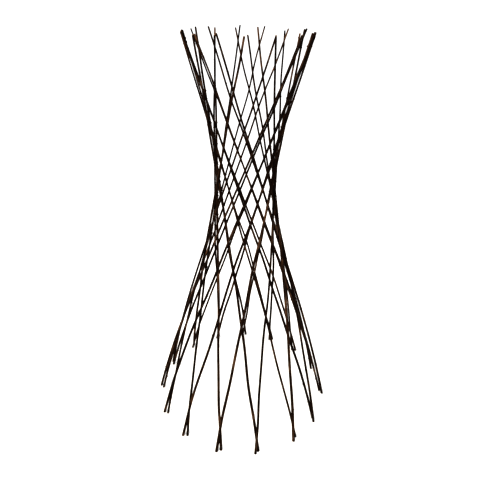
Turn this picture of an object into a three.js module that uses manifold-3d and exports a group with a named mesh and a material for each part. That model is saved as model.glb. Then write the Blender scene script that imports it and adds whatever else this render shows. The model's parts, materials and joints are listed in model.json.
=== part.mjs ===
// Garden obelisk of bare willow rods: an open hourglass lattice.
//
// Fifteen outer rods lean one way and fifteen inner rods lean the other way. They are
// almost straight, so together they rule a one-sheet hyperboloid: a wide ring of feet, a
// narrow waist and a flared top. Towards the ground the rods bow a little, and the ring of
// feet is slightly oval. The rods stand in fifteen pairs, one outer and one inner rod that
// cross just above the ground. Near the waist each rod crosses a rod of another pair at a
// nail, the pivot that both turn on when the lattice is gathered into a bundle.
//
// Millimetres, +Z up. The origin is on the ground, below the centre of the object's box.

import * as THREE from 'three';
import { mergeVertices } from 'three/addons/utils/BufferGeometryUtils.js';
import Module from 'manifold-3d';

const wasm = await Module();
wasm.setup();

// ---- Driving dimensions ----------------------------------------------------------

const HEIGHT = 1200; // ground to the level of the longest rod tips
const WAIST_HEIGHT = 783; // ground to the narrowest level
const WAIST_RADIUS = 87.5; // axis to the face where the two layers of rods meet
const LEAN = THREE.MathUtils.degToRad(20.8); // each rod, from the vertical
const FOOT_TWIST = 72.6; // degrees round the axis from a pair's crossing to its waist
const BUTT_DIAMETER = 8.8; // thick end of a usual rod, at the ground
const TIP_DIAMETER = 5.2; // thin end of a usual rod, at the top
const LAYER_GAP = 0.3; // running clearance between an outer and an inner rod
const OVAL_FEET = 0.085; // share by which the ring of feet is drawn in along X
const OVAL_HEIGHT = 550; // the drawing in starts at this height

// One entry per pair of rods, in order round the feet. spacing is how far the pair stands
// from even spacing, in degrees. trim is how much shorter than the longest a rod was cut,
// in millimetres, and girth is how thick it is against a usual rod.
const PAIRS = [
  { spacing: -1, outer: { trim: 4, girth: 1.02 }, inner: { trim: 0, girth: 0.92 } },
  { spacing: 0, outer: { trim: 0, girth: 1.06 }, inner: { trim: 7, girth: 1 } },
  { spacing: 0, outer: { trim: 9, girth: 0.9 }, inner: { trim: 3, girth: 1.06 } },
  { spacing: 3, outer: { trim: 2, girth: 1.08 }, inner: { trim: 6, girth: 0.86 } },
  { spacing: 0, outer: { trim: 5, girth: 0.94 }, inner: { trim: 1, girth: 1.02 } },
  { spacing: 3, outer: { trim: 0, girth: 1.04 }, inner: { trim: 5, girth: 0.88 } },
  { spacing: 2, outer: { trim: 3, girth: 0.86 }, inner: { trim: 0, girth: 0.98 } },
  { spacing: 3, outer: { trim: 6, girth: 0.96 }, inner: { trim: 1, girth: 0.84 } },
  { spacing: 1, outer: { trim: 1, girth: 0.84 }, inner: { trim: 2, girth: 0.96 } },
  { spacing: 0, outer: { trim: 4, girth: 1 }, inner: { trim: 0, girth: 0.86 } },
  { spacing: -2, outer: { trim: 0, girth: 0.88 }, inner: { trim: 3, girth: 1.04 } },
  { spacing: -3, outer: { trim: 1, girth: 1.06 }, inner: { trim: 5, girth: 0.9 } },
  { spacing: -3, outer: { trim: 0, girth: 0.92 }, inner: { trim: 1, girth: 1.02 } },
  { spacing: -2, outer: { trim: 0, girth: 0.98 }, inner: { trim: 6, girth: 0.94 } },
  { spacing: -1, outer: { trim: 8, girth: 1.04 }, inner: { trim: 2, girth: 0.86 } },
];
const FIRST_AZIMUTH = -128; // degrees, first pair before its own spacing
const NAIL_STEP = 6; // a nail joins a pair's outer rod to the inner rod this many pairs on

const NAIL_DIAMETER = 1.8;
const NAIL_HEAD_DIAMETER = 4.2;
const NAIL_HEAD_THICKNESS = 0.9;
const NAIL_STAND_OUT = 2.4; // point of the nail past the inner rod
const NAIL_CLEARANCE = 0.3; // round the shank and under the head

const ROD_SIDES = 8;
const ROD_STEPS = 16; // lengthwise steps of a rod
const NAIL_SIDES = 10;
const FOOT_ALLOWANCE = 12; // extra rod below the ground, sawn off level

const BARK_COLOURS = ['#2b1d12', '#33231a', '#241a13', '#3a2717'];
const NAIL_COLOUR = '#4b4844';

// ---- Geometry of the lattice -----------------------------------------------------

const slope = Math.tan(LEAN);
const footReach = WAIST_HEIGHT / Math.cos(LEAN); // along a rod, waist to ground
const tipReach = (HEIGHT - WAIST_HEIGHT) / Math.cos(LEAN); // along a rod, waist to tip

/**
 * Radius of a rod at a distance along it from the waist, negative towards the foot.
 * girth is its thickness against a usual rod.
 */
function radiusAt(along, girth) {
  const fraction = (along + footReach) / (footReach + tipReach);
  return (girth * THREE.MathUtils.lerp(BUTT_DIAMETER, TIP_DIAMETER, fraction)) / 2;
}

/** Distance of a rod's centre line from the face where the two layers meet. */
function layerOffsetAt(along, girth) {
  return radiusAt(along, girth) + LAYER_GAP / 2;
}

/** Distance along a rod from the waist to where it has turned by twist round the axis. */
function alongAt(twist) {
  return (WAIST_RADIUS / Math.sin(LEAN)) * Math.tan(twist);
}

/** Outward normal of the hyperboloid at a point taken relative to the waist's centre. */
function surfaceNormal(point) {
  return new THREE.Vector3(point.x, point.y, -slope * slope * point.z).normalize();
}

/** Draws a point in along X, the more the nearer it is to the ground. */
function drawnIn(point) {
  const depth = Math.max(0, 1 - point.z / OVAL_HEIGHT);
  return point.setX(point.x * (1 - OVAL_FEET * depth * depth));
}

/**
 * The frame of the rod whose waist point is at azimuth: its cross axes, and points of its
 * ruling and centre line. hand is +1 for an outer rod and -1 for an inner one. The centre
 * line runs along a straight ruling of the hyperboloid, and lies off it, along the
 * surface normal, by half the distance between the layers. Near the ground it bows in.
 */
function rodFrame(hand, azimuth, girth) {
  const up = new THREE.Vector3(0, 0, 1);
  const radial = new THREE.Vector3(1, 0, 0).applyAxisAngle(up, azimuth);
  const direction = new THREE.Vector3(0, hand * Math.sin(LEAN), Math.cos(LEAN));
  direction.applyAxisAngle(up, azimuth);
  const sideways = new THREE.Vector3().crossVectors(direction, radial);
  const waist = radial.clone().multiplyScalar(WAIST_RADIUS);
  const rulingAt = (along) => waist.clone().addScaledVector(direction, along);
  const centreAt = (along) => {
    const ruling = rulingAt(along);
    const offset = surfaceNormal(ruling).multiplyScalar(hand * layerOffsetAt(along, girth));
    return drawnIn(ruling.setZ(ruling.z + WAIST_HEIGHT)).add(offset);
  };
  return { radial, sideways, rulingAt, centreAt };
}

// ---- Solids ----------------------------------------------------------------------

/** A closed three.js geometry as a manifold-3d solid. */
function toSolid(geometry) {
  const bare = geometry.clone();
  bare.deleteAttribute('normal');
  bare.deleteAttribute('uv');
  const merged = mergeVertices(bare, 1e-4);
  return new wasm.Manifold(new wasm.Mesh({
    numProp: 3,
    vertProperties: new Float32Array(merged.attributes.position.array),
    triVerts: new Uint32Array(merged.index.array),
  }));
}

/** A manifold-3d solid as a three.js geometry. */
function toGeometry(solid) {
  const mesh = solid.getMesh();
  const geometry = new THREE.BufferGeometry();
  geometry.setAttribute('position', new THREE.BufferAttribute(mesh.vertProperties, 3));
  geometry.setIndex(new THREE.BufferAttribute(mesh.triVerts, 1));
  geometry.computeVertexNormals();
  return geometry;
}

/** Everything below the ground, where the feet are sawn level. */
function groundBlock() {
  const size = 3 * HEIGHT;
  const block = new THREE.BoxGeometry(size, size, HEIGHT);
  block.translate(0, 0, -HEIGHT / 2);
  return toSolid(block);
}

/** Turns a geometry made along +X at the origin to stand on a rod's ruling point. */
function standOn(geometry, rulingPoint) {
  const normal = surfaceNormal(rulingPoint);
  const turn = new THREE.Quaternion().setFromUnitVectors(new THREE.Vector3(1, 0, 0), normal);
  geometry.applyQuaternion(turn);
  geometry.translate(rulingPoint.x, rulingPoint.y, rulingPoint.z + WAIST_HEIGHT);
  return geometry;
}

/** The hole that a rod's nail passes through, with the nail's running clearance. */
function nailHole(rulingAt, nailTwist) {
  const radius = NAIL_DIAMETER / 2 + NAIL_CLEARANCE;
  const hole = new THREE.CylinderGeometry(radius, radius, 6 * BUTT_DIAMETER, ROD_SIDES);
  hole.rotateZ(Math.PI / 2);
  return toSolid(standOn(hole, rulingAt(alongAt(nailTwist))));
}

/**
 * A tapered rod, drawn from a cylinder whose every ring of points is carried to its place
 * on the rod's centre line. trim shortens its tip.
 */
function rodGeometry(hand, azimuth, { trim, girth }, nailTwist) {
  const { radial, sideways, rulingAt, centreAt } = rodFrame(hand, azimuth, girth);
  const start = -footReach - FOOT_ALLOWANCE;
  const end = tipReach - trim;
  const length = end - start;
  const blank = new THREE.CylinderGeometry(
    radiusAt(end, girth),
    radiusAt(start, girth),
    length,
    ROD_SIDES,
    ROD_STEPS,
  );
  const points = blank.attributes.position;
  for (let i = 0; i < points.count; i += 1) {
    const along = start + length / 2 + points.getY(i);
    const place = centreAt(along)
      .addScaledVector(radial, points.getZ(i))
      .addScaledVector(sideways, points.getX(i));
    points.setXYZ(i, place.x, place.y, place.z);
  }
  const rod = toSolid(blank).subtract(groundBlock());
  return toGeometry(rod.subtract(nailHole(rulingAt, nailTwist)));
}

/**
 * A nail driven inwards at its crossing. azimuth and nailTwist are those of its outer rod,
 * and the girths are those of the two rods that it joins.
 */
function nailGeometry(azimuth, nailTwist, outerGirth, innerGirth) {
  const along = alongAt(nailTwist);
  const shank = NAIL_DIAMETER / 2;
  const head = NAIL_HEAD_DIAMETER / 2;
  const outerFace = layerOffsetAt(along, outerGirth) + radiusAt(along, outerGirth);
  const innerFace = layerOffsetAt(along, innerGirth) + radiusAt(along, innerGirth);
  const headBase = outerFace + NAIL_CLEARANCE;
  const headTop = headBase + NAIL_HEAD_THICKNESS;
  const point = -innerFace - NAIL_STAND_OUT;
  const outline = [
    new THREE.Vector2(0, point),
    new THREE.Vector2(shank, point + 1.8 * NAIL_DIAMETER),
    new THREE.Vector2(shank, headBase),
    new THREE.Vector2(head, headBase),
    new THREE.Vector2(head, headTop - 0.4 * NAIL_HEAD_THICKNESS),
    new THREE.Vector2(0.7 * head, headTop),
    new THREE.Vector2(0, headTop),
  ];
  const nail = new THREE.LatheGeometry(outline, NAIL_SIDES);
  nail.rotateZ(-Math.PI / 2);
  const { rulingAt } = rodFrame(1, azimuth, outerGirth);
  return toGeometry(toSolid(standOn(nail, rulingAt(along))));
}

// ---- Assembly --------------------------------------------------------------------

function bark(index) {
  return new THREE.MeshStandardMaterial({
    color: BARK_COLOURS[index % BARK_COLOURS.length],
    roughness: 0.85,
    metalness: 0,
  });
}

function steel() {
  return new THREE.MeshStandardMaterial({
    color: NAIL_COLOUR,
    roughness: 0.45,
    metalness: 0.9,
  });
}

function piece(name, geometry, material) {
  const mesh = new THREE.Mesh(geometry, material);
  mesh.name = name;
  return mesh;
}

/** Azimuth of a pair's crossing above the ground, in degrees. */
function footAzimuth(index) {
  const turns = Math.floor(index / PAIRS.length);
  const { spacing } = PAIRS[index - turns * PAIRS.length];
  return FIRST_AZIMUTH + (index * 360) / PAIRS.length + spacing;
}

/** Twist, from the waist, at which a pair's outer rod meets its nail. */
function nailTwistOf(outerIndex) {
  const outerWaist = footAzimuth(outerIndex) + FOOT_TWIST;
  const innerWaist = footAzimuth(outerIndex + NAIL_STEP) - FOOT_TWIST;
  return THREE.MathUtils.degToRad((innerWaist - outerWaist) / 2);
}

const lattice = new THREE.Group();
PAIRS.forEach((pair, index) => {
  const number = String(index + 1).padStart(2, '0');
  const outerAzimuth = THREE.MathUtils.degToRad(footAzimuth(index) + FOOT_TWIST);
  const innerAzimuth = THREE.MathUtils.degToRad(footAzimuth(index) - FOOT_TWIST);
  const outerTwist = nailTwistOf(index);
  const innerTwist = nailTwistOf(index - NAIL_STEP);
  const nailedInner = PAIRS[(index + NAIL_STEP) % PAIRS.length].inner;
  const outerRod = rodGeometry(1, outerAzimuth, pair.outer, outerTwist);
  const innerRod = rodGeometry(-1, innerAzimuth, pair.inner, innerTwist);
  const nail = nailGeometry(outerAzimuth, outerTwist, pair.outer.girth, nailedInner.girth);
  lattice.add(
    piece(`outer_rod_${number}`, outerRod, bark(index)),
    piece(`inner_rod_${number}`, innerRod, bark(index + 2)),
    piece(`waist_nail_${number}`, nail, steel()),
  );
});

// The uneven spacing puts the box's centre slightly off the lattice's own axis.
const box = new THREE.Box3().setFromObject(lattice, true);
const middle = box.getCenter(new THREE.Vector3());
lattice.position.set(-middle.x, -middle.y, 0);

const obelisk = new THREE.Group();
obelisk.add(lattice);
obelisk.updateMatrixWorld(true);

export default obelisk;
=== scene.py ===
import json
import math
import random

import bmesh
import bpy
from mathutils import Matrix, Vector, noise

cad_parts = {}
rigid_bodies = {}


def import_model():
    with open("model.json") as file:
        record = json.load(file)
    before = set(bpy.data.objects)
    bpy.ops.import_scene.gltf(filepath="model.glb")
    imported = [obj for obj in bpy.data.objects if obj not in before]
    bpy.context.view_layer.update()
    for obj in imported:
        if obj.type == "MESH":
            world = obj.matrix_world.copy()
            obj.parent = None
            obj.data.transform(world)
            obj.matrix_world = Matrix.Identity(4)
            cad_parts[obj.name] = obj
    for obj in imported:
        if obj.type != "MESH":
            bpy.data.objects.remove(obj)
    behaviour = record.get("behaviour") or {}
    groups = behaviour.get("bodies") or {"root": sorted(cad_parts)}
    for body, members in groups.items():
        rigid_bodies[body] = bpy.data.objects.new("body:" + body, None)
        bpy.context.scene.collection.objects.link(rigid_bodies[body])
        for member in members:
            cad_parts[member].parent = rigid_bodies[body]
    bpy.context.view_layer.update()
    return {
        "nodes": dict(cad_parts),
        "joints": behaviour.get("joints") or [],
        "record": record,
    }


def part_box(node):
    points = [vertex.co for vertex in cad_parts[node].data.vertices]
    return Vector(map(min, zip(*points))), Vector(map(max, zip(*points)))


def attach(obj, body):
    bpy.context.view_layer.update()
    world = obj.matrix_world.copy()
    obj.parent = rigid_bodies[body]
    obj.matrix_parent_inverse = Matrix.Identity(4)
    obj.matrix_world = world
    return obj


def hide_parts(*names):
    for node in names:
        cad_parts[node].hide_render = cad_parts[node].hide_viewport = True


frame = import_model()

# ---- The lattice, in metres, as the CAD builds it ----------------------------------

WAIST_HEIGHT = 0.783
WAIST_RADIUS = 0.0875
LEAN = math.radians(20.8)
HEIGHT = 1.2
BUTT_DIAMETER = 0.0088
TIP_DIAMETER = 0.0052
LAYER_GAP = 0.0003
OVAL_FEET = 0.085  # share by which the ring of feet is drawn in along X
OVAL_HEIGHT = 0.55  # the drawing in starts at this height
OUTER_GIRTHS = (
    1.02, 1.06, 0.9, 1.08, 0.94, 1.04, 0.86, 0.96,
    0.84, 1, 0.88, 1.06, 0.92, 0.98, 1.04,
)
INNER_GIRTHS = (
    0.92, 1, 1.06, 0.86, 1.02, 0.88, 0.98, 0.84,
    0.96, 0.86, 1.04, 0.9, 1.02, 0.94, 0.86,
)

SLOPE = math.tan(LEAN)
FOOT_REACH = WAIST_HEIGHT / math.cos(LEAN)
TIP_REACH = (HEIGHT - WAIST_HEIGHT) / math.cos(LEAN)
UP = Vector((0, 0, 1))
MOST_TWIST = math.radians(80)  # rods further apart than this can't cross
CROSSING_STEPS = 8  # refinements of where two rods cross

# ---- How a natural rod differs from the straight one --------------------------------

ROD_SIDES = 14
RING_STEP = 0.0045
BARK_FIT = 0.97  # bark radius as a share of the CAD radius, so that swellings fit
BELOW_GROUND = 0.012  # grown this far past the ground, then sawn off level
TIP_INSET = 0.001  # from the CAD rod's highest point to where this one ends

BENDS = (  # each bend's least and greatest size, and least and greatest length
    ((0.0018, 0.0040), (0.50, 0.75)),
    ((0.0004, 0.0011), (0.19, 0.30)),
)
STRAIGHT_REACH = 0.08  # either side of the waist nail the rods don't bend
BEND_REACH = 0.26  # from the waist nail to where they bend fully
END_REACH = 0.16  # the last stretch, over which the bend dies away towards either end
END_BEND = 0.15  # share of the bend that is left at the very end
TANGENT_STEP = 0.002  # either side of where a rod's direction is taken
SPLAY_HEIGHT = 0.30  # below this the two feet of a pair spread apart
FOOT_SPLAYS = (  # how far each of a pair's two feet stands aside, pair by pair
    0.0005, 0.0010, 0.0005, 0.0034, 0.0012, 0.0002, 0.0008, 0.0010,
    0.0000, 0.0014, 0.0006, 0.0020, 0.0010, 0.0004, 0.0000,
)

# A rod's section isn't quite round or even: sizes as shares of its radius.
LUMP_SCALE = 60
LUMP_SIZE = 0.022
WAVE_SCALE = 22
WAVE_SIZE = 0.018
MOST_OVAL = 0.035
SEED_SPAN = 90  # each rod's unevenness starts somewhere within this

MOST_SLANT = 0.3  # how much the cut at the tip may slant
TIP_EDGE = 0.86  # the worn edge of that cut, as a share of the radius

FIRST_NODE = (0.01, 0.05)  # from the ground to the first leaf scar
NODE_SPACING = (0.034, 0.062)  # between leaf scars along a rod
NODE_TURN = math.radians(144)  # each scar is this far round from the last
NODE_TURN_SPREAD = 0.25
SCAR_STRENGTHS = (0.5, 1.0)
SCAR_HEIGHT = 0.00062
SCAR_LENGTH = 0.0019
SCAR_ANGLE = 0.42  # how far it reaches round the rod, in radians
SCAR_REACH = 4  # in scar lengths, beyond which a scar is no longer felt
SWELLING = 0.035  # of the whole rod about a scar, as a share of its radius
SWELLING_DARKNESS = 0.35  # of it, against the scar itself
SCAR_MARGIN = 0.006  # no leaf scars this close to a crossing
SCAR_TIP_MARGIN = 0.012  # nor this close to the tip

STUB_STRENGTH = 0.9  # the strongest scars, out of 1, carry the stub of a twig
STUB_TIP_MARGIN = 0.05  # no stubs this close to the tip
STUB_RISE = 0.002  # a twig grows just above its leaf scar
STUB_LEAN = 0.45  # towards the rod's tip, as a slope
STUB_DEPTH = 0.45  # where the stub starts inside the rod, as a share of its radius
STUB_SIZE = 0.42  # its radius, as a share of the rod's
STUB_PROFILE = (  # height as a share of the rod's radius, and share of the stub's radius
    (0.0, 1.25),
    (0.62, 1.0),
    (0.95, 0.78),
    (1.05, 0.66),
)
STUB_SIDES = 10
STUB_DARKNESS = 0.25
FREE_SIDE = 0.35  # least cosine between a stub and the way out of the lattice's layer

# ---- Nails -------------------------------------------------------------------------

LOWEST_NAIL = 0.02  # crossings lower than this aren't nailed
TIP_MARGIN = 0.006  # nor are those this close to a tip
NAIL_TILT = 0.07  # how far a nail is driven askew
HEAD_RADIUS = 0.0020
HEAD_SPREAD = (0.9, 1.1)
HEAD_SIDES = 12
HEAD_PROFILE = (  # height above the bark, and share of the head's radius
    (-0.0002, 0.96),
    (0.00025, 1.0),
    (0.00050, 0.86),
    (0.00062, 0.5),
)
HEAD_CROWN = 0.00068
POINT_RADIUS = 0.0008
POINT_SIDES = 8
POINT_START = 0.0008  # the point starts this deep inside the inner rod
POINT_TURN_RADIUS = 0.0010
POINT_TURN = math.radians(102)  # how far the point is knocked over
POINT_TURN_STEPS = 6
POINT_LENGTHS = (0.0030, 0.0042)
POINT_TAPER_START = 0.6  # shares of the bent length, and of the radius
POINT_TAPER = 0.25


def smooth(value):
    """Smoothstep, clamped to 0 and 1."""
    value = min(1.0, max(0.0, value))
    return value * value * (3 - 2 * value)


def drawn_in(point, axis_x):
    """Draws a point in along X, the more the nearer it is to the ground."""
    depth = max(0.0, 1 - point.z / OVAL_HEIGHT)
    share = 1 - OVAL_FEET * depth * depth
    return Vector((axis_x + (point.x - axis_x) * share, point.y, point.z))


class Rod:
    """One willow rod: where the CAD puts it, and how this one grew.

    Its hand is 1 for an outer rod and -1 for an inner one: the way it leans, and the
    side of the lattice's surface that it lies on.
    """

    def __init__(self, node, joint, hand, girth, splay):
        self.node = node
        self.hand = hand
        self.girth = girth
        self.splay = splay
        self.radial = Vector(joint["axis"]).normalized()
        tangent = UP.cross(self.radial)
        self.direction = tangent * (hand * math.sin(LEAN)) + UP * math.cos(LEAN)
        self.nail_along = (joint["pos_m"][2] - WAIST_HEIGHT) / math.cos(LEAN)
        self.waist = Vector(joint["pos_m"]) - self.direction * self.nail_along
        self.middle = self.waist - self.radial * WAIST_RADIUS
        self.azimuth = math.atan2(self.radial.y, self.radial.x)
        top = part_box(node)[1].z
        self.tip = (top - WAIST_HEIGHT) / math.cos(LEAN) - TIP_INSET
        self.random = random.Random(node)
        self.bends = [
            (self.random.uniform(*sizes), self.random.uniform(*lengths))
            for sizes, lengths in BENDS
        ]
        self.phases = [self.random.uniform(0, math.tau) for _ in self.bends]
        self.crossings = []

    def radius_at(self, along):
        """Radius at a distance from the waist point, negative towards the foot."""
        share = (along + FOOT_REACH) / (FOOT_REACH + TIP_REACH)
        return self.girth * (BUTT_DIAMETER + (TIP_DIAMETER - BUTT_DIAMETER) * share) / 2

    def normal(self, point):
        """Outward normal of the lattice's surface at a point on it."""
        away = point - self.middle
        return Vector((away.x, away.y, -SLOPE * SLOPE * away.z)).normalized()

    def sideways_bend(self, along):
        """How far the rod bows within the lattice's surface."""
        distance = abs(along - self.nail_along)
        share = smooth((distance - STRAIGHT_REACH) / (BEND_REACH - STRAIGHT_REACH))
        height = (along + FOOT_REACH) * math.cos(LEAN)
        splay = self.hand * self.splay * max(0.0, 1 - height / SPLAY_HEIGHT)
        to_end = min(along + FOOT_REACH, self.tip - along)
        share *= END_BEND + (1 - END_BEND) * smooth(to_end / END_REACH)
        bow = sum(
            size * math.sin(math.tau * along / length + phase)
            for (size, length), phase in zip(self.bends, self.phases)
        )
        return share * bow + splay

    def centre(self, along):
        """A point of the rod's centre line."""
        ruling = self.waist + self.direction * along
        normal = self.normal(ruling)
        offset = self.hand * (self.radius_at(along) + LAYER_GAP / 2)
        side = normal.cross(self.direction)
        bowed = ruling + side * self.sideways_bend(along)
        return drawn_in(bowed, self.middle.x) + normal * offset

    def tangent(self, along):
        """Direction of the centre line, towards the tip."""
        ahead = self.centre(along + TANGENT_STEP)
        behind = self.centre(along - TANGENT_STEP)
        return (ahead - behind).normalized()


def joint_of(node):
    """The joint that a rod turns on."""
    return next(joint for joint in frame["joints"] if joint["child"] == node)


def all_rods(family, hand, girths):
    """The rods of one layer, in the order of their numbers."""
    names = sorted(name for name in frame["nodes"] if name.startswith(family))
    return [
        Rod(name, joint_of(name), hand, girth, splay)
        for name, girth, splay in zip(names, girths, FOOT_SPLAYS)
    ]


def crossing(outer, inner):
    """Where two rods cross: distances along each, or None if they don't meet."""
    twist = math.remainder(inner.azimuth - outer.azimuth, math.tau) / 2
    if abs(twist) > MOST_TWIST:
        return None
    first_guess = WAIST_RADIUS / math.sin(LEAN) * math.tan(twist)
    along = [first_guess, first_guess]
    for _ in range(CROSSING_STEPS):
        gap = inner.centre(along[1]) - outer.centre(along[0])
        outer_way = outer.tangent(along[0])
        inner_way = inner.tangent(along[1])
        shared = outer_way.dot(inner_way)
        scale = 1 - shared * shared
        along[0] += (gap.dot(outer_way) - shared * gap.dot(inner_way)) / scale
        along[1] -= (gap.dot(inner_way) - shared * gap.dot(outer_way)) / scale
    for place, rod in zip(along, (outer, inner)):
        if rod.centre(place).z < LOWEST_NAIL or place > rod.tip - TIP_MARGIN:
            return None
    return along


def all_crossings():
    """Every (outer rod, inner rod, distances along them) of the lattice."""
    found = []
    for outer in outer_rods:
        for inner in inner_rods:
            along = crossing(outer, inner)
            if along is not None:
                found.append((outer, inner, along))
                outer.crossings.append(along[0])
                inner.crossings.append(along[1])
    return found


outer_rods = all_rods("outer_rod_", 1, OUTER_GIRTHS)
inner_rods = all_rods("inner_rod_", -1, INNER_GIRTHS)
crossings = all_crossings()


# ---- Materials ---------------------------------------------------------------------


class Nodes:
    """Short calls for building a node tree.

    Patterns are scaled per metre. A mapping whose last scale is under 1 draws a pattern
    out along the rod.
    """

    def __init__(self, name):
        self.material = bpy.data.materials.new(name)
        self.material.use_nodes = True
        self.tree = self.material.node_tree
        self.shader = self.tree.nodes["Principled BSDF"]

    def link(self, source, target):
        self.tree.links.new(source, target)

    def shade(self, name, source):
        """Drives one of the shader's inputs."""
        self.link(source, self.shader.inputs[name])

    def fix(self, name, value):
        """Sets one of the shader's inputs to the same value everywhere."""
        self.shader.inputs[name].default_value = value

    def attribute(self, name, output="Vector"):
        node = self.tree.nodes.new("ShaderNodeAttribute")
        node.attribute_name = name
        return node.outputs[output]

    def object_space(self):
        return self.tree.nodes.new("ShaderNodeTexCoord").outputs["Object"]

    def mapping(self, vector, scale, location=(0, 0, 0)):
        node = self.tree.nodes.new("ShaderNodeMapping")
        node.inputs["Scale"].default_value = scale
        node.inputs["Location"].default_value = location
        self.link(vector, node.inputs["Vector"])
        return node.outputs["Vector"]

    def noise(self, vector, scale, detail=4.0, roughness=0.55, distortion=0.0):
        node = self.tree.nodes.new("ShaderNodeTexNoise")
        node.inputs["Scale"].default_value = scale
        node.inputs["Detail"].default_value = detail
        node.inputs["Roughness"].default_value = roughness
        node.inputs["Distortion"].default_value = distortion
        self.link(vector, node.inputs["Vector"])
        return node.outputs["Fac"]

    def spots(self, vector, scale):
        """Distance to the nearest of many scattered points."""
        node = self.tree.nodes.new("ShaderNodeTexVoronoi")
        node.inputs["Scale"].default_value = scale
        self.link(vector, node.inputs["Vector"])
        return node.outputs["Distance"]

    def remap(self, value, low, high, to_low=0.0, to_high=1.0):
        node = self.tree.nodes.new("ShaderNodeMapRange")
        node.interpolation_type = "SMOOTHSTEP"
        node.inputs["From Min"].default_value = low
        node.inputs["From Max"].default_value = high
        node.inputs["To Min"].default_value = to_low
        node.inputs["To Max"].default_value = to_high
        self.link(value, node.inputs["Value"])
        return node.outputs["Result"]

    def math(self, operation, first, second=0.0):
        node = self.tree.nodes.new("ShaderNodeMath")
        node.operation = operation
        for socket, value in zip(node.inputs, (first, second)):
            if isinstance(value, (int, float)):
                socket.default_value = value
            else:
                self.link(value, socket)
        return node.outputs[0]

    def length(self, vector):
        node = self.tree.nodes.new("ShaderNodeVectorMath")
        node.operation = "LENGTH"
        self.link(vector, node.inputs[0])
        return node.outputs["Value"]

    def mix(self, factor, first, second):
        node = self.tree.nodes.new("ShaderNodeMix")
        node.data_type = "RGBA"
        self.link(factor, node.inputs["Factor"])
        colours = [socket for socket in node.inputs if socket.type == "RGBA"]
        for socket, value in zip(colours, (first, second)):
            if isinstance(value, tuple):
                socket.default_value = (*value, 1)
            else:
                self.link(value, socket)
        return next(socket for socket in node.outputs if socket.type == "RGBA")

    def bump(self, height, distance, strength=1.0, normal=None):
        node = self.tree.nodes.new("ShaderNodeBump")
        node.inputs["Distance"].default_value = distance
        node.inputs["Strength"].default_value = strength
        self.link(height, node.inputs["Height"])
        if normal is not None:
            self.link(normal, node.inputs["Normal"])
        return node.outputs["Normal"]


# Linear RGB: each bark slot's dark, warm and worn tones, then the tones that all share.
BARKS = (
    ((0.0030, 0.0014, 0.0008), (0.0140, 0.0066, 0.0032), (0.075, 0.040, 0.021)),
    ((0.0040, 0.0020, 0.0012), (0.0180, 0.0088, 0.0046), (0.088, 0.049, 0.027)),
    ((0.0024, 0.0013, 0.0008), (0.0100, 0.0054, 0.0030), (0.054, 0.031, 0.018)),
    ((0.0048, 0.0022, 0.0012), (0.0220, 0.0105, 0.0048), (0.105, 0.056, 0.030)),
)
LENTICEL = (0.11, 0.078, 0.050)
EARLY_WOOD = (0.30, 0.19, 0.10)
LATE_WOOD = (0.19, 0.105, 0.05)
PITH = (0.05, 0.026, 0.014)
WEATHERED_WOOD = (0.12, 0.09, 0.065)
STEEL = (0.035, 0.032, 0.030)
RUST = (0.050, 0.020, 0.009)
FLOOR = (0.93, 0.93, 0.93)

SCAR_TONE = 0.45  # a leaf scar's tone, as a share of the bark's dark one
SEED_STEP = 0.37  # keeps the barks' patterns apart
RING_PITCH = 9000  # growth rings, in radians a metre
RING_WANDER = 0.0006  # how far they wander from true circles

CUT_FACE = 1  # where the cut wood comes among a rod's materials


def bark_material(name, dark, warm, worn, seed):
    """Dry willow bark: dark and streaked, rubbed warm in patches, with pale lenticels."""
    nodes = Nodes(name)
    space = nodes.attribute("rod_space")
    shifted = nodes.mapping(space, (1, 1, 1), (seed, 2 * seed, 3 * seed))

    streaks = nodes.noise(nodes.mapping(shifted, (1, 1, 0.06)), 900, detail=5, roughness=0.6)
    mottle = nodes.noise(nodes.mapping(shifted, (1, 1, 0.3)), 160)
    colour = nodes.mix(nodes.remap(mottle, 0.35, 0.7), dark, warm)
    streak_share = nodes.math("MULTIPLY", nodes.remap(streaks, 0.30, 0.72), 0.45)
    colour = nodes.mix(streak_share, colour, warm)

    patch_space = nodes.mapping(shifted, (1, 1, 0.22))
    patch_field = nodes.noise(patch_space, 62, detail=5, distortion=0.4)
    patches = nodes.remap(patch_field, 0.55, 0.66)
    patches = nodes.math("MULTIPLY", patches, nodes.remap(streaks, 0.32, 0.55, 0.35, 1.0))
    colour = nodes.mix(nodes.math("MULTIPLY", patches, 0.75), colour, worn)

    speck_field = nodes.spots(nodes.mapping(shifted, (1, 1, 0.8)), 330)
    specks = nodes.remap(speck_field, 0.10, 0.20, 1.0, 0.0)
    here_and_there = nodes.remap(nodes.noise(shifted, 210, detail=1), 0.52, 0.60)
    lenticels = nodes.math("MULTIPLY", specks, here_and_there)
    colour = nodes.mix(nodes.math("MULTIPLY", lenticels, 0.6), colour, LENTICEL)

    scar_share = nodes.math("MULTIPLY", nodes.attribute("scar", "Fac"), 0.7)
    nearly_black = tuple(channel * SCAR_TONE for channel in dark)
    nodes.shade("Base Color", nodes.mix(scar_share, colour, nearly_black))

    roughness = nodes.remap(streaks, 0.25, 0.75, 0.55, 0.82)
    polish = nodes.math("MULTIPLY", patches, 0.12)
    nodes.shade("Roughness", nodes.math("SUBTRACT", roughness, polish))
    nodes.fix("Specular IOR Level", 0.03)

    relief = nodes.math("ADD", streaks, nodes.math("MULTIPLY", mottle, 0.6))
    relief = nodes.math("ADD", relief, nodes.math("MULTIPLY", lenticels, 0.7))
    relief = nodes.math("SUBTRACT", relief, nodes.math("MULTIPLY", patches, 0.5))
    broad = nodes.bump(relief, 0.0005)
    wrinkles = nodes.noise(nodes.mapping(shifted, (1, 1, 0.035)), 2100, detail=3)
    nodes.shade("Normal", nodes.bump(wrinkles, 0.0002, 0.8, broad))
    return nodes.material


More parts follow.
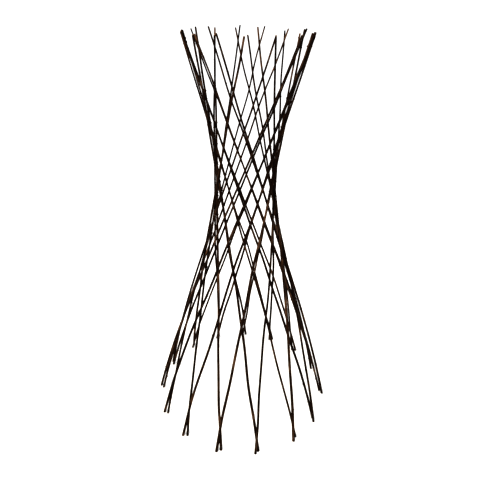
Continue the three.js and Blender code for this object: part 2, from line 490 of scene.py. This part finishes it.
def cut_wood_material():
    """A sawn end: tan wood with growth rings, a dark pith and grey weathering."""
    nodes = Nodes("cut_wood")
    space = nodes.attribute("rod_space")
    radius = nodes.length(nodes.mapping(space, (1, 1, 0)))
    wander = nodes.math("MULTIPLY", nodes.noise(space, 500, detail=2), RING_WANDER)
    wave = nodes.math("MULTIPLY", nodes.math("ADD", radius, wander), RING_PITCH)
    rings = nodes.math("SINE", wave)
    colour = nodes.mix(nodes.remap(rings, -0.6, 0.9), EARLY_WOOD, LATE_WOOD)
    pith = nodes.remap(radius, 0.0003, 0.0006, 1.0, 0.0)
    colour = nodes.mix(pith, colour, PITH)
    weather = nodes.remap(nodes.noise(space, 420), 0.4, 0.65)
    colour = nodes.mix(nodes.math("MULTIPLY", weather, 0.6), colour, WEATHERED_WOOD)
    nodes.shade("Base Color", colour)
    nodes.fix("Roughness", 0.85)
    nodes.shade("Normal", nodes.bump(rings, 0.00008, 0.6))
    return nodes.material


def nail_material():
    """Small steel nails that have darkened and begun to rust."""
    nodes = Nodes("nail_steel")
    space = nodes.object_space()
    rust = nodes.remap(nodes.noise(space, 700, detail=5), 0.45, 0.62)
    nodes.shade("Base Color", nodes.mix(rust, STEEL, RUST))
    nodes.shade("Metallic", nodes.remap(rust, 0.0, 1.0, 0.8, 0.1))
    nodes.shade("Roughness", nodes.remap(rust, 0.0, 1.0, 0.45, 0.85))
    nodes.fix("Specular IOR Level", 0.2)
    pits = nodes.noise(space, 2600, detail=3)
    nodes.shade("Normal", nodes.bump(pits, 0.00006, 0.7))
    return nodes.material


def floor_material():
    """A pale matt floor with a faint cloudiness."""
    nodes = Nodes("pale_floor")
    cloud = nodes.noise(nodes.object_space(), 3, detail=2)
    darker = tuple(channel * 0.985 for channel in FLOOR)
    nodes.shade("Base Color", nodes.mix(cloud, FLOOR, darker))
    nodes.fix("Roughness", 0.9)
    nodes.fix("Specular IOR Level", 0.1)
    return nodes.material


bark_of_slot = {
    f"willow_bark_{number}": bark_material(f"willow_bark_{number}", *tones, SEED_STEP * number)
    for number, tones in enumerate(BARKS, start=1)
}
cut_wood = cut_wood_material()
nail_steel = nail_material()


# ---- Meshes ------------------------------------------------------------------------


def finished(bm, name, materials):
    """Turns a bmesh into an object of the scene."""
    mesh = bpy.data.meshes.new(name)
    bm.to_mesh(mesh)
    bm.free()
    for material in materials:
        mesh.materials.append(material)
    made = bpy.data.objects.new(name, mesh)
    bpy.context.scene.collection.objects.link(made)
    return made


def close_rings(bm, rings):
    """Quads between each ring of vertices and the next."""
    for lower, upper in zip(rings, rings[1:]):
        count = len(lower)
        for side in range(count):
            after = (side + 1) % count
            face = bm.faces.new((lower[side], lower[after], upper[after], upper[side]))
            face.smooth = True


def round_ring(bm, centre, first, second, radius, sides):
    """A ring of vertices about a centre, in the plane of two directions."""
    ring = []
    for side in range(sides):
        turn = math.tau * side / sides
        around = first * math.cos(turn) + second * math.sin(turn)
        ring.append(bm.verts.new(centre + around * radius))
    return ring


# ---- Rods --------------------------------------------------------------------------


def leaf_scars(rod):
    """Where a rod's leaf scars are: distance along it, angle round it, and strength."""
    scars = []
    along = -FOOT_REACH + rod.random.uniform(*FIRST_NODE)
    angle = rod.random.uniform(0, math.tau)
    while along < rod.tip - SCAR_TIP_MARGIN:
        strength = rod.random.uniform(*SCAR_STRENGTHS)
        if all(abs(along - place) > SCAR_MARGIN for place in rod.crossings):
            scars.append((along, angle, strength))
        along += rod.random.uniform(*NODE_SPACING)
        angle += NODE_TURN + rod.random.uniform(-NODE_TURN_SPREAD, NODE_TURN_SPREAD)
    return scars


def scar_at(scars, along, angle, radius):
    """(height, darkness) that the leaf scars near a point of the bark give it."""
    height = 0.0
    darkness = 0.0
    for place, turn, strength in scars:
        distance = (along - place) / SCAR_LENGTH
        if abs(distance) > SCAR_REACH:
            continue
        swell = math.exp(-distance * distance / 4)
        around = math.remainder(angle - turn, math.tau) / SCAR_ANGLE
        bump = math.exp(-(distance * distance + around * around) / 2)
        height += strength * (SWELLING * radius * swell + SCAR_HEIGHT * bump)
        darkness = max(darkness, strength * max(bump, SWELLING_DARKNESS * swell))
    return height, darkness


def rod_frame_at(rod, along):
    """Centre, direction and two cross axes of a rod's section; they don't twist along it."""
    centre = rod.centre(along)
    tangent = rod.tangent(along)
    first = (rod.radial - tangent * rod.radial.dot(tangent)).normalized()
    second = tangent.cross(first)
    return centre, tangent, first, second


def faces_away(rod, along, angle):
    """Whether that side of a rod is turned away from the other layer of rods."""
    centre, _, first, second = rod_frame_at(rod, along)
    outward = first * math.cos(angle) + second * math.sin(angle)
    return rod.hand * outward.dot(rod.normal(centre)) > FREE_SIDE


def stub(bm, rod, along, angle, layers):
    """A twig trimmed off short: a low collar of bark with a pale cut face."""
    centre, tangent, first, second = rod_frame_at(rod, along)
    outward = first * math.cos(angle) + second * math.sin(angle)
    lean = (outward + tangent * STUB_LEAN).normalized()
    across = tangent.cross(outward).normalized()
    upward = lean.cross(across).normalized()
    surface = rod.radius_at(along) * BARK_FIT
    base = centre + outward * surface * STUB_DEPTH
    rings = []
    for rise, share in STUB_PROFILE:
        height = surface * rise
        radius = surface * STUB_SIZE * share
        ring = round_ring(bm, base + lean * height, across, upward, radius, STUB_SIDES)
        for side, vertex in enumerate(ring):
            turn = math.tau * side / STUB_SIDES
            vertex[layers["space"]] = Vector(
                (radius * math.cos(turn), radius * math.sin(turn), along + height)
            )
            vertex[layers["scar"]] = STUB_DARKNESS
        rings.append(ring)
    close_rings(bm, rings)
    cap = bm.faces.new(rings[-1])
    cap.material_index = CUT_FACE
    bm.faces.new(reversed(rings[0]))


def level_foot(bm):
    """Saws the rod off at the ground and gives it a cut face."""
    geometry = list(bm.verts) + list(bm.edges) + list(bm.faces)
    cut = bmesh.ops.bisect_plane(
        bm, geom=geometry, plane_co=(0, 0, 0), plane_no=(0, 0, -1), clear_outer=True
    )
    edges = [part for part in cut["geom_cut"] if isinstance(part, bmesh.types.BMEdge)]
    filled = bmesh.ops.contextual_create(bm, geom=edges)
    for face in filled["faces"]:
        face.material_index = CUT_FACE
        face.smooth = False


def rod_rings(bm, rod, scars, layers):
    """The rod's skin as rings of vertices, from below the ground to the slanted tip."""
    start = -FOOT_REACH - BELOW_GROUND
    count = round((rod.tip - start) / RING_STEP)
    seed = Vector((rod.random.uniform(0, SEED_SPAN), rod.random.uniform(0, SEED_SPAN), 0))
    slant = rod.random.uniform(0.0, MOST_SLANT)
    slant_turn = rod.random.uniform(0, math.tau)
    oval = rod.random.uniform(0.0, MOST_OVAL)
    rings = []
    for index in range(count + 1):
        along = start + (rod.tip - start) * index / count
        centre, tangent, first, second = rod_frame_at(rod, along)
        base = rod.radius_at(along) * BARK_FIT
        wave = noise.noise(Vector((seed.x, seed.y, along * WAVE_SCALE)))
        ring = []
        for side in range(ROD_SIDES):
            angle = math.tau * side / ROD_SIDES
            where = Vector((math.cos(angle) * base, math.sin(angle) * base, along))
            lump = noise.noise(where * LUMP_SCALE + seed)
            raised, darkness = scar_at(scars, along, angle, base)
            uneven = LUMP_SIZE * lump + WAVE_SIZE * wave + oval * math.cos(2 * angle)
            radius = base * (1 + uneven) + raised
            if index == count:
                radius *= TIP_EDGE
            around = first * math.cos(angle) + second * math.sin(angle)
            place = centre + around * radius
            if index >= count - 1:
                place -= tangent * slant * radius * (1 + math.cos(angle - slant_turn))
            vertex = bm.verts.new(place)
            vertex[layers["space"]] = where
            vertex[layers["scar"]] = darkness
            ring.append(vertex)
        rings.append(ring)
    return rings


def build_rod(rod, bark):
    """A willow rod as one mesh: bark, leaf scars, twig stubs and two cut ends."""
    bm = bmesh.new()
    layers = {
        "space": bm.verts.layers.float_vector.new("rod_space"),
        "scar": bm.verts.layers.float.new("scar"),
    }
    scars = leaf_scars(rod)
    rings = rod_rings(bm, rod, scars, layers)
    close_rings(bm, rings)
    tip = bm.faces.new(rings[-1])
    tip.material_index = CUT_FACE
    bm.faces.new(reversed(rings[0]))
    level_foot(bm)
    for place, turn, strength in scars:
        low_enough = place < rod.tip - STUB_TIP_MARGIN
        if strength > STUB_STRENGTH and low_enough and faces_away(rod, place, turn):
            stub(bm, rod, place + STUB_RISE, turn, layers)
    bmesh.ops.recalc_face_normals(bm, faces=bm.faces)
    piece = finished(bm, rod.node + "_bark", (bark, cut_wood))
    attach(piece, rod.node)
    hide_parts(rod.node)


slots = {row["node"]: row["material_slot"] for row in frame["record"]["subparts"]}
for rod in outer_rods + inner_rods:
    build_rod(rod, bark_of_slot[slots[rod.node]])


# ---- Nails -------------------------------------------------------------------------


def add_nail(bm, outer, inner, along, chance):
    """A round-headed nail through a crossing, its point bent over along the inner rod."""
    top = outer.centre(along[0])
    bottom = inner.centre(along[1])
    tilt = Vector([chance.uniform(-NAIL_TILT, NAIL_TILT) for _ in range(3)])
    axis = ((top - bottom).normalized() + tilt).normalized()
    across = axis.cross(inner.tangent(along[1])).normalized()
    upward = across.cross(axis).normalized()
    middle = (top + bottom) / 2
    face = (top - middle).length + outer.radius_at(along[0]) * BARK_FIT
    back = -(bottom - middle).length - inner.radius_at(along[1]) * BARK_FIT
    head = HEAD_RADIUS * chance.uniform(*HEAD_SPREAD)
    rings = [
        round_ring(bm, middle + axis * (face + height), across, upward, head * share, HEAD_SIDES)
        for height, share in HEAD_PROFILE
    ]
    close_rings(bm, rings)
    crown = bm.verts.new(middle + axis * (face + HEAD_CROWN))
    rim = rings[-1]
    for side in range(HEAD_SIDES):
        cap = bm.faces.new((rim[side], rim[(side + 1) % HEAD_SIDES], crown))
        cap.smooth = True
    bm.faces.new(reversed(rings[0]))
    add_point(bm, middle + axis * back, axis, upward, across, chance.uniform(*POINT_LENGTHS))


def add_point(bm, leaving, axis, upward, across, length):
    """The end of a nail, from where it leaves the inner rod, knocked over flat."""
    centre = leaving + upward * POINT_TURN_RADIUS
    path = [(leaving + axis * POINT_START, -axis)]
    for step in range(POINT_TURN_STEPS + 1):
        angle = POINT_TURN * step / POINT_TURN_STEPS
        spoke = -upward * math.cos(angle) - axis * math.sin(angle)
        heading = upward * math.sin(angle) - axis * math.cos(angle)
        path.append((centre + spoke * POINT_TURN_RADIUS, heading))
    bent, heading = path[-1]
    path.append((bent + heading * length * POINT_TAPER_START, heading))
    path.append((bent + heading * length, heading))
    radii = [POINT_RADIUS] * (len(path) - 1) + [POINT_RADIUS * POINT_TAPER]
    rings = [
        round_ring(bm, place, across, heading.cross(across).normalized(), radius, POINT_SIDES)
        for (place, heading), radius in zip(path, radii)
    ]
    close_rings(bm, rings)
    bm.faces.new(rings[-1])
    bm.faces.new(reversed(rings[0]))


def nails_piece(name, body, nailed, chance):
    """All the nails that move with one body, as one piece."""
    bm = bmesh.new()
    for outer, inner, along in nailed:
        add_nail(bm, outer, inner, along, chance)
    bmesh.ops.recalc_face_normals(bm, faces=bm.faces)
    piece = finished(bm, name, (nail_steel,))
    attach(piece, body)
    return piece


def nail_everything():
    """Waist nails stand for their CAD nodes; the others ride on the outer rods."""
    hubs = {j["child"]: j["parent"] for j in frame["joints"] if j["type"] == "hinge"}
    for outer in outer_rods:
        hub = hubs[outer.node]
        number = outer.node[-2:]
        nailed = [found for found in crossings if found[0] is outer]
        at_hub = [found for found in nailed if hubs[found[1].node] == hub]
        others = [found for found in nailed if hubs[found[1].node] != hub]
        chance = random.Random("nails " + number)
        waist = nails_piece("waist_nail_" + number + "_forged", hub, at_hub, chance)
        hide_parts(hub)
        nails_piece("crossing_nails_" + number, outer.node, others, chance)


nail_everything()


# ---- Stage -------------------------------------------------------------------------

FLOOR_REACH = 40.0
LIGHT_TARGET = Vector((0, 0, 0.6))

# The camera stands in front of the obelisk's axis, a little left of it and above it.
CAMERA_DISTANCE = 1.497
CAMERA_HEIGHT = 1.297
CAMERA_SIDE = -0.013
CAMERA_PITCH = math.radians(25.5)
CAMERA_ROLL = math.radians(0.88)
FOCAL_LENGTH = 39.5
SENSOR_WIDTH = 36.0
FARTHEST_SEEN = 200


def floor():
    """A wide pale floor."""
    bm = bmesh.new()
    corners = [(-1, -1), (1, -1), (1, 1), (-1, 1)]
    bm.faces.new([bm.verts.new((x * FLOOR_REACH, y * FLOOR_REACH, 0)) for x, y in corners])
    finished(bm, "floor", (floor_material(),))


def area_light(name, place, size, power, colour):
    """A round soft light that faces the middle of the obelisk."""
    data = bpy.data.lights.new(name, "AREA")
    data.shape = "DISK"
    data.size = size
    data.energy = power
    data.color = colour
    light = bpy.data.objects.new(name, data)
    light.location = place
    light.rotation_mode = "QUATERNION"
    light.rotation_quaternion = (LIGHT_TARGET - Vector(place)).to_track_quat("-Z", "Y")
    bpy.context.scene.collection.objects.link(light)


def studio():
    """A bright, even white studio with a soft key from the upper left."""
    world = bpy.data.worlds.new("studio")
    bpy.context.scene.world = world
    world.use_nodes = True
    background = world.node_tree.nodes["Background"]
    background.inputs["Color"].default_value = (1, 1, 1, 1)
    background.inputs["Strength"].default_value = 1.0
    area_light("key", (-1.8, -2.2, 2.8), size=1.2, power=110, colour=(1.0, 0.86, 0.70))
    area_light("fill", (2.4, -1.4, 1.6), size=2.0, power=12, colour=(0.9, 0.95, 1.0))
    bpy.context.scene.view_settings.view_transform = "Standard"
    bpy.context.scene.view_settings.look = "High Contrast"


def camera():
    """The camera, which looks slightly down at the obelisk."""
    data = bpy.data.cameras.new("camera")
    data.lens = FOCAL_LENGTH
    data.sensor_width = SENSOR_WIDTH
    data.clip_end = FARTHEST_SEEN
    eye = bpy.data.objects.new("camera", data)
    axis = outer_rods[0].middle
    place = Vector((axis.x + CAMERA_SIDE, axis.y - CAMERA_DISTANCE, CAMERA_HEIGHT))
    level = Matrix.Rotation(math.pi / 2 - CAMERA_PITCH, 4, "X")
    roll = Matrix.Rotation(CAMERA_ROLL, 4, "Z")
    eye.matrix_world = Matrix.Translation(place) @ level @ roll
    bpy.context.scene.collection.objects.link(eye)
    bpy.context.scene.camera = eye


floor()
studio()
camera()
